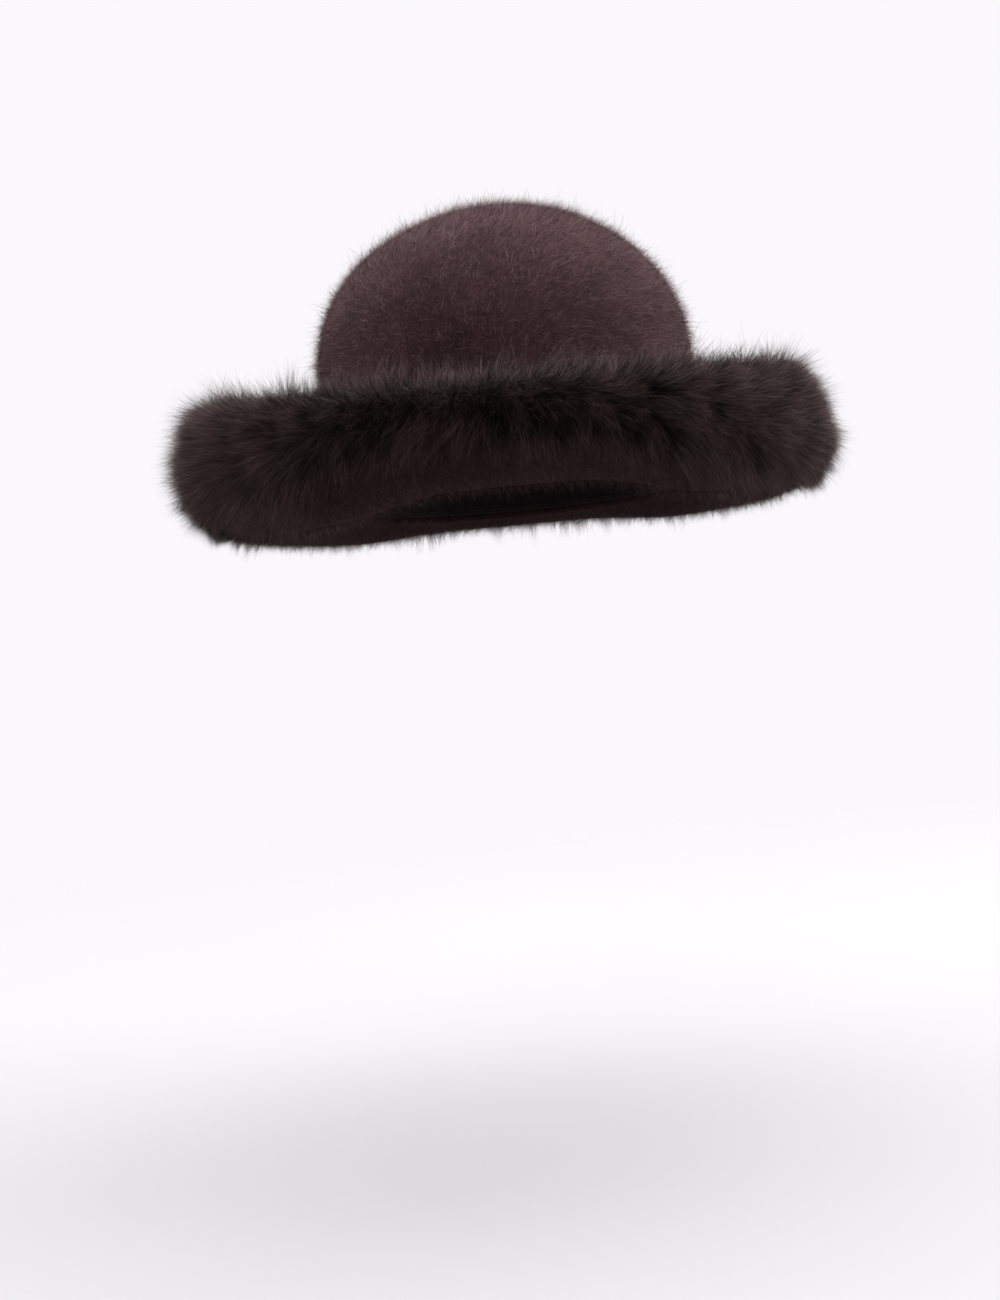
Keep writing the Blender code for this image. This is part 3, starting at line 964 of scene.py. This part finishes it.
# %% [markdown]
# Inside, a hat is finished like a garment. A ribbed ribbon, the sweatband, lines the head
# opening, with a small flat bow at the back. Above it comes a satin lining: a side panel,
# gathered at its upper edge, and a domed tip. All of them follow the oval of the crown's
# wall, so one helper gives a point from the angle, the distance u from the wall's outer face
# and the height.

# %% Rings that follow the wall


def wall_point(phi, u, z):
    foot = Vector((HALF_WIDTH * math.cos(phi), HALF_LENGTH * math.sin(phi), z))
    return CENTRE + foot + u * out_of_crown(phi)


def angles(count):
    return [2 * math.pi * index / count for index in range(count)]


def tube(name, outlines, closed=False):
    """A solid through outlines, joined into a ring or capped at both ends."""
    shape = bmesh.new()
    rings = [[shape.verts.new(point) for point in outline] for outline in outlines]
    for one, two in zip(rings, rings[1:] + rings[:1] if closed else rings[1:]):
        for index in range(len(one)):
            after = (index + 1) % len(one)
            shape.faces.new((one[index], one[after], two[after], two[index]))
    if not closed:
        shape.faces.new(rings[0])
        shape.faces.new(rings[-1])
    bmesh.ops.recalc_face_normals(shape, faces=shape.faces)
    return add_piece(name, shape)


def sheet_grid(name, rows, columns, place, tidy_normals=False):
    """An open sheet through place(t, s), with t from 0 to 1 and s from -1 to 1."""
    shape = bmesh.new()
    grid = [
        [shape.verts.new(place(row / rows, 2 * column / columns - 1)) for column in range(columns + 1)]
        for row in range(rows + 1)
    ]
    for one, two in zip(grid, grid[1:]):
        for index in range(columns):
            shape.faces.new((one[index], one[index + 1], two[index + 1], two[index]))
    if tidy_normals:
        bmesh.ops.recalc_face_normals(shape, faces=shape.faces)
    return add_piece(name, shape)


# %% [markdown]
# A pattern that many places share is made once: a repeated shape set along a closed line. The
# line is a guide of loose edges whose points carry the direction out of the cloth. The tree
# turns the guide into a curve, cuts it into equal steps, and stands the shape on each step,
# with its X along the line and its Z outwards. Stitches and the ribbon's ribs both use it.

# %% The seam tree
SEAM_INPUTS = (("Pitch", "Float"), ("Tilt", "Float"), ("Shape", "Object"), ("Finish", "Material"))


def seam_tree():
    make = TreeMaker("seam", SEAM_INPUTS)
    line = make.add("GeometryNodeMeshToCurve", Mesh=make["Geometry"])
    steps = make.add("GeometryNodeResampleCurve", {"mode": "LENGTH"}, Curve=line.outputs["Curve"])
    make.wire(steps.inputs["Length"], make["Pitch"])
    along = make.add("GeometryNodeInputTangent").outputs["Tangent"]
    out = make.attribute("out", VECTOR)
    stand = make.add("FunctionNodeAlignRotationToVector", {"axis": "Z"}, Vector=out)
    face = make.add(
        "FunctionNodeAlignRotationToVector",
        {"axis": "X", "pivot_axis": "Z"},
        Rotation=stand.outputs["Rotation"],
        Vector=along,
    )
    turn = make.turned(face.outputs["Rotation"], make["Tilt"])
    return make.close(make.stood(steps.outputs["Curve"], "Shape", Rotation=turn))


seam = seam_tree()


def guide_line(points, outs):
    mesh = bpy.data.meshes.new("guide")
    edges = [(index, (index + 1) % len(points)) for index in range(len(points))]
    mesh.from_pydata(points, edges, [])
    set_values(mesh, "out", VECTOR, outs)
    return bpy.data.objects.new("guide", mesh)


# %% [markdown]
# Thread, ribbon, satin and tape are all woven or twisted, and differ in scale and gloss. One
# recipe makes them: two crossed sets of fine waves for warp and weft, broken up by noise, as
# bump and as a small change of colour.

# %% Woven finishes
# A wave texture of scale 1 has this pitch in metres.
WAVE_SCALE = 0.314


def woven(name, dark, light, pitch, rough, sheen, tint, depth, stretch=(1, 1, 1)):
    cloth = Mottled(name, Roughness=rough, Sheen_Weight=sheen, Sheen_Tint=(*tint, 1))
    spread = cloth.add("ShaderNodeMapping", Vector=cloth.where, Scale=stretch).outputs["Vector"]
    size = dict(Vector=spread, Scale=WAVE_SCALE / (pitch * MM), Distortion=0.6, Detail=1.0)
    warp, weft = (
        cloth.add("ShaderNodeTexWave", {"bands_direction": way}, **size).outputs["Fac"] for way in "XZ"
    )
    slub, cloud = cloth.noise(700, 4, 0.6, spread), cloth.noise(45, 3)
    pattern = cloth.weighted((cloth.product(warp, weft), 0.35), (slub, 0.35), (cloud, 0.3))
    return cloth.mottle(pattern, 0.25, 0.75, (*dark, 1), (*light, 1), depth * MM)


# Dark and light colour, pitch in mm, roughness, sheen and its tint, and bump in mm.
PETERSHAM = ((0.010, 0.006, 0.007), (0.034, 0.020, 0.023), 0.5, 0.62, 0.25, (0.7, 0.5, 0.55), 0.2)
SATIN = ((0.030, 0.013, 0.016), (0.070, 0.032, 0.038), 0.35, 0.30, 0.30, (0.9, 0.6, 0.65), 0.06)
THREAD = ((0.018, 0.010, 0.011), (0.060, 0.034, 0.036), 0.25, 0.55, 0.2, (0.8, 0.6, 0.6), 0.1)
TAPE = ((0.42, 0.37, 0.32), (0.66, 0.61, 0.54), 0.30, 0.70, 0.2, (1, 0.95, 0.9), 0.1)
WRAP = ((0.008, 0.007, 0.007), (0.030, 0.025, 0.024), 0.4, 0.85, 0.2, (0.7, 0.6, 0.6), 0.2)
ribbon = woven("petersham", *PETERSHAM)
satin = woven("satin", *SATIN, stretch=(1, 1, 0.15))
thread = woven("thread", *THREAD)
tape = woven("label_tape", *TAPE)
wrap = woven("wire_cotton", *WRAP)

# %% [markdown]
# Petersham ribbon has fat crosswise ribs, about one for each millimetre and a quarter, which
# let it curve. A smooth thin band carries them, and each rib is a small half-round bar.

# %% Sweatband
BAND_LOW, BAND_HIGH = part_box("sweatband")[0][2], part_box("sweatband")[1][2]
BAND_BACK, BAND_MIDDLE, BAND_FACE = -4.6 * MM, -5.05 * MM, -5.4 * MM
RIB_PITCH, RIB_WIDTH = 1.25 * MM, 1.12 * MM


def band_outline(phi):
    rim = 0.25 * MM
    low, high = BAND_LOW + rim, BAND_HIGH - rim
    half = (BAND_BACK + BAND_MIDDLE) / 2
    up = ((BAND_BACK, low), (BAND_BACK, high), (half, BAND_HIGH))
    down = ((BAND_MIDDLE, high), (BAND_MIDDLE, low), (half, BAND_LOW))
    return [wall_point(phi, u, z) for u, z in up + down]


def add_rib():
    half, rise = RIB_WIDTH / 2, BAND_MIDDLE - BAND_FACE
    long = (BAND_HIGH - BAND_LOW) / 2
    outlines = []
    arch = ((-half, 0), (-half * 0.7, rise * 0.7), (0, rise), (half * 0.7, rise * 0.7), (half, 0))
    for end, share in ((-1, 0.45), (-0.96, 0.95), (0, 1.0), (0.96, 0.95), (1, 0.45)):
        outlines.append([Vector((x * share, end * long, z * share)) for x, z in arch])
    return tube("rib", outlines)


def wall_guide(u, z, count=240):
    points = [wall_point(phi, u, z) for phi in angles(count)]
    return guide_line(points, [-out_of_crown(phi) for phi in angles(count)])


rib = add_rib()
band = tube("sweatband_band", map(band_outline, angles(192)), closed=True)
dressed(band, ribbon, "ribbon", "sweatband")
rib_guide = wall_guide(BAND_MIDDLE + 0.04 * MM, (BAND_LOW + BAND_HIGH) / 2)
row = dict(pitch=RIB_PITCH, tilt=0.0, shape=rib, finish=ribbon)
wear_on(grown("sweatband_ribs", rib_guide, seam, row), "ribbon")

# %% [markdown]
# The side lining is a straight strip of satin, joined into a ring. Its lower edge is hidden
# behind the sweatband, and its upper edge is drawn together, so gathers run up it and deepen
# towards the seam. They are made in the mesh, because a satin fold shows in its outline too.

# %% Side lining
GATHERS = 78
GATHER_DEEP, GATHER_FLAT = 1.25 * MM, 0.15 * MM
LINING_BACK, LINING_THICK = -2.32 * MM, 0.25 * MM
SIDE_LOW, SIDE_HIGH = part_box("lining_side")[0][2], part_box("lining_side")[1][2]
SIDE_HEIGHT = SIDE_HIGH - SIDE_LOW
SIDE_ROWS = 10


def gather(phi, share):
    """How far the satin stands off the crown, at an angle and a share of its height."""
    drift = 1.6 * noise.noise(Vector((3 * math.cos(phi), 3 * math.sin(phi), 0.6 * share)))
    fold = 0.5 + 0.5 * math.sin(GATHERS * phi + 3.0 * drift)
    size = 0.75 + 0.5 * noise.noise(Vector((9 * math.cos(phi), 9 * math.sin(phi), 2.0)))
    return (GATHER_FLAT + (GATHER_DEEP - GATHER_FLAT) * share**1.3) * fold**1.5 * size


def lining_outline(phi):
    rows = [index / SIDE_ROWS for index in range(SIDE_ROWS + 1)]
    back = [(LINING_BACK - gather(phi, s), SIDE_LOW + SIDE_HEIGHT * s) for s in rows]
    face = [(u - LINING_THICK, z) for u, z in back[::-1]]
    return [wall_point(phi, u, z) for u, z in back + face]


lining = tube("side_lining", map(lining_outline, angles(780)), closed=True)
dressed(lining, satin, "satin", "lining_side")

# %% [markdown]
# The tip is a cap of the same satin, blocked with the crown. It lies almost smooth, with a
# few soft ripples that run down from its middle where it was drawn over the block.

# %% Lining tip
RIPPLE, RIPPLES = 0.45 * MM, 26


def make_tip():
    piece = finer("tip_lining", "lining_tip")
    middle = CENTRE + Vector((0, 0, 0.06))
    for vertex in piece.data.vertices:
        steep = min(1.0, math.hypot(vertex.co.x - CENTRE.x, vertex.co.y) / 0.05)
        wave = math.sin(RIPPLES * angle_of(vertex.co) + 2.5 * noise.noise(vertex.co * 40))
        vertex.co -= (vertex.co - middle).normalized() * RIPPLE * (0.5 + 0.5 * wave) * steep
    return piece


tip = dressed(make_tip(), satin, "satin", "lining_tip")

# %% [markdown]
# Stitches hold it all together. A stitch is one short arch of thread that dives into the
# cloth at both ends. The frame has each row as a thin zigzag thread, so the middle line of
# that thread is where the row runs, and the direction from the felt to it is the stitch's
# outward side.

# %% Stitches
STITCH_STEPS, STITCH_SIDES = 6, 6
STITCH_RISE = 0.9 * MM
THREAD_RADIUS = 0.26 * MM
SEAM_POINTS = 96


def add_stitch(length):
    outlines = []
    for step in range(STITCH_STEPS + 1):
        t = step / STITCH_STEPS
        middle = Vector((length * (t - 0.5), 0, STITCH_RISE * (math.sin(math.pi * t) - 0.5)))
        radius = THREAD_RADIUS * (0.6 if step in (0, STITCH_STEPS) else 1.0)
        turns = angles(STITCH_SIDES)
        outlines.append([middle + radius * Vector((0, math.cos(a), math.sin(a))) for a in turns])
    return tube("stitch", outlines)


def thread_guide(node, support):
    """The middle line of a thread node, and the way out of the piece that it is sewn to."""
    shape = merged(node)
    bins = [[] for _ in range(SEAM_POINTS)]
    for vertex in shape.verts:
        place = angle_of(vertex.co) / (2 * math.pi) * SEAM_POINTS
        bins[round(place) % SEAM_POINTS].append(vertex.co.copy())
    shape.free()
    centres = [sum(found, Vector()) / len(found) for found in bins if found]
    count = len(centres)
    points = [(centres[i] + centres[(i + 1) % count]) / 2 for i in range(count)]
    hits = [support.find_nearest(point)[0] for point in points]
    outs = [(point - hit).normalized() for point, hit in zip(points, hits)]
    return guide_line([hit + out * 0.15 * MM for hit, out in zip(hits, outs)], outs)


# Each row of stitches: its thread, the piece it is sewn to, pitch, stitch length and tilt.
SEAMS = (
    ("crown_stitching", "crown", 4.2 * MM, 3.0 * MM, 0.0),
    ("sweatband_stitching", "sweatband", 4.2 * MM, 2.8 * MM, 0.0),
    ("fur_stitching_outer", "brim", 4.6 * MM, 3.6 * MM, 0.9),
    ("fur_stitching_inner", "brim", 4.6 * MM, 3.6 * MM, -0.9),
)
shapes = [rib]
for node, support, pitch, length, tilt in SEAMS:
    shapes.append(add_stitch(length))
    row = dict(pitch=pitch, tilt=tilt, shape=shapes[-1], finish=thread)
    piece = grown(node + "_row", thread_guide(node, node_tree_of(support)), seam, row)
    wear_on(piece, "thread", node)
tip_seam_guide = wall_guide(LINING_BACK - GATHER_DEEP, SIDE_HIGH + 0.2 * MM)
row = dict(pitch=3.4 * MM, tilt=0.5, shape=shapes[1], finish=thread)
wear_on(grown("lining_seam", tip_seam_guide, seam, row), "thread")

# %% [markdown]
# The bow at the back is a scrap of the same ribbon, folded into two flat loops and pinched by
# a knot. Each loop is a ribbon that leaves the knot, turns at the end and comes back behind
# itself. It is narrow at the knot, where it is pleated, and full width at its end.

# %% Bow
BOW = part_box("sweatband_bow")
BOW_MIDDLE = (BOW[0][2] + BOW[1][2]) / 2
BOW_REACH = (BOW[1][0] - BOW[0][0]) / 2
BOW_HALF_HEIGHT = (BOW[1][2] - BOW[0][2]) / 2
BOW_STEPS, BOW_ROWS = 28, 12
KNOT_HALF, KNOT_STEPS = 0.8 * MM, 8


def back_wall(x, inward, z):
    """A point on the sweatband's face at the back, x to the side and some way inwards."""
    half, wide = HALF_LENGTH + BAND_FACE, HALF_WIDTH + BAND_FACE
    return CENTRE + Vector((x, half * math.sqrt(1 - (x / wide) ** 2) - inward, z))


def bow_loop(side):
    def place(t, across):
        turn = math.pi * t
        reach = 0.5 - 0.5 * math.cos(2 * turn)
        along = math.sin(turn) ** 0.8
        height = BOW_HALF_HEIGHT * (0.42 + 0.58 * min(1, along * 1.35) ** 1.2)
        pleat = 0.22 * MM * math.cos(3 * math.pi * across) * (1 - along)
        depth = 0.35 * MM + (0.75 + 0.55 * reach) * MM * (1 + math.cos(turn)) / 2 + pleat
        depth += 0.25 * MM * along * (1 - across * across)
        x = side * (KNOT_HALF + (BOW_REACH - KNOT_HALF) * along)
        return back_wall(x, depth, BOW_MIDDLE + height * across)

    name = "bow_left" if side < 0 else "bow_right"
    piece = sheet_grid(name, BOW_STEPS, BOW_ROWS, place, tidy_normals=True)
    dressed(thickened(piece, 0.22 * MM, 0.0), ribbon, "ribbon", "sweatband_bow")


def bow_knot():
    outlines = []
    for step in range(KNOT_STEPS + 1):
        t = 2 * step / KNOT_STEPS - 1
        wide = 2.1 * MM * (1 - 0.25 * t * t)
        thick = 0.85 * MM * math.sqrt(max(1 - t**4, 0.08))
        ring = []
        for turn in angles(24):
            ridge = 1 + 0.07 * math.cos(6 * turn)
            x, y = wide * math.cos(turn) * ridge, thick * math.sin(turn) * ridge
            ring.append(back_wall(x, 1.35 * MM + y, BOW_MIDDLE + 2.6 * MM * t))
        outlines.append(ring)
    dressed(tube("bow_knot", outlines), ribbon, "ribbon")


for side in (-1, 1):
    bow_loop(side)
bow_knot()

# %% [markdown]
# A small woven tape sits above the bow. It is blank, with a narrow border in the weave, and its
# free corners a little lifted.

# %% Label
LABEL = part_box("size_label")
LABEL_COLUMNS, LABEL_ROWS = 20, 26


def label_point(t, s):
    (left, front, foot), (right, _, head) = LABEL
    border = 0.10 * MM if abs(s) > 0.86 or abs(2 * t - 1) > 0.88 else 0.0
    lift = 0.9 * MM * (1 - t) ** 3 * abs(s) ** 2 + 0.12 * MM * noise.noise(Vector((2 * s, 3 * t, 0)))
    x = (left + right) / 2 + s * (right - left) / 2
    return x, front - 0.9 * MM - border - lift, foot + (head - foot) * t


label = sheet_grid("blank_label", LABEL_ROWS, LABEL_COLUMNS, label_point)
dressed(thickened(label, 0.3 * MM, -1.0), tape, "tape", "size_label")

# %% [markdown]
# The wire in the brim's edge and the brass tube that joins its ends keep the frame's own
# shape. They only get better finishes: cotton wound round the wire, and brass dulled by
# handling.

# %% Wire and joiner


def brass_finish():
    brass = Mottled("dull_brass", Metallic=1.0, Roughness=0.38)
    dark, light = (0.22, 0.13, 0.05, 1), (0.62, 0.44, 0.18, 1)
    return brass.mottle(brass.noise(350, 5), 0.3, 0.7, dark, light, 0.1 * MM)


for node, finish in (("brim_wire", wrap), ("wire_joiner", brass_finish())):
    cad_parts[node].material_slots[0].material = finish

# %% Put the helpers away
for piece in [*blades.values(), *pelts.values(), *shapes]:
    bpy.data.objects.remove(piece)

# %% Sizes and finish
shown = [piece for piece in bpy.data.objects if piece.type == "MESH" and not piece.hide_render]
print("all shown meshes", sum(triangle_count(piece) for piece in shown), "triangles")
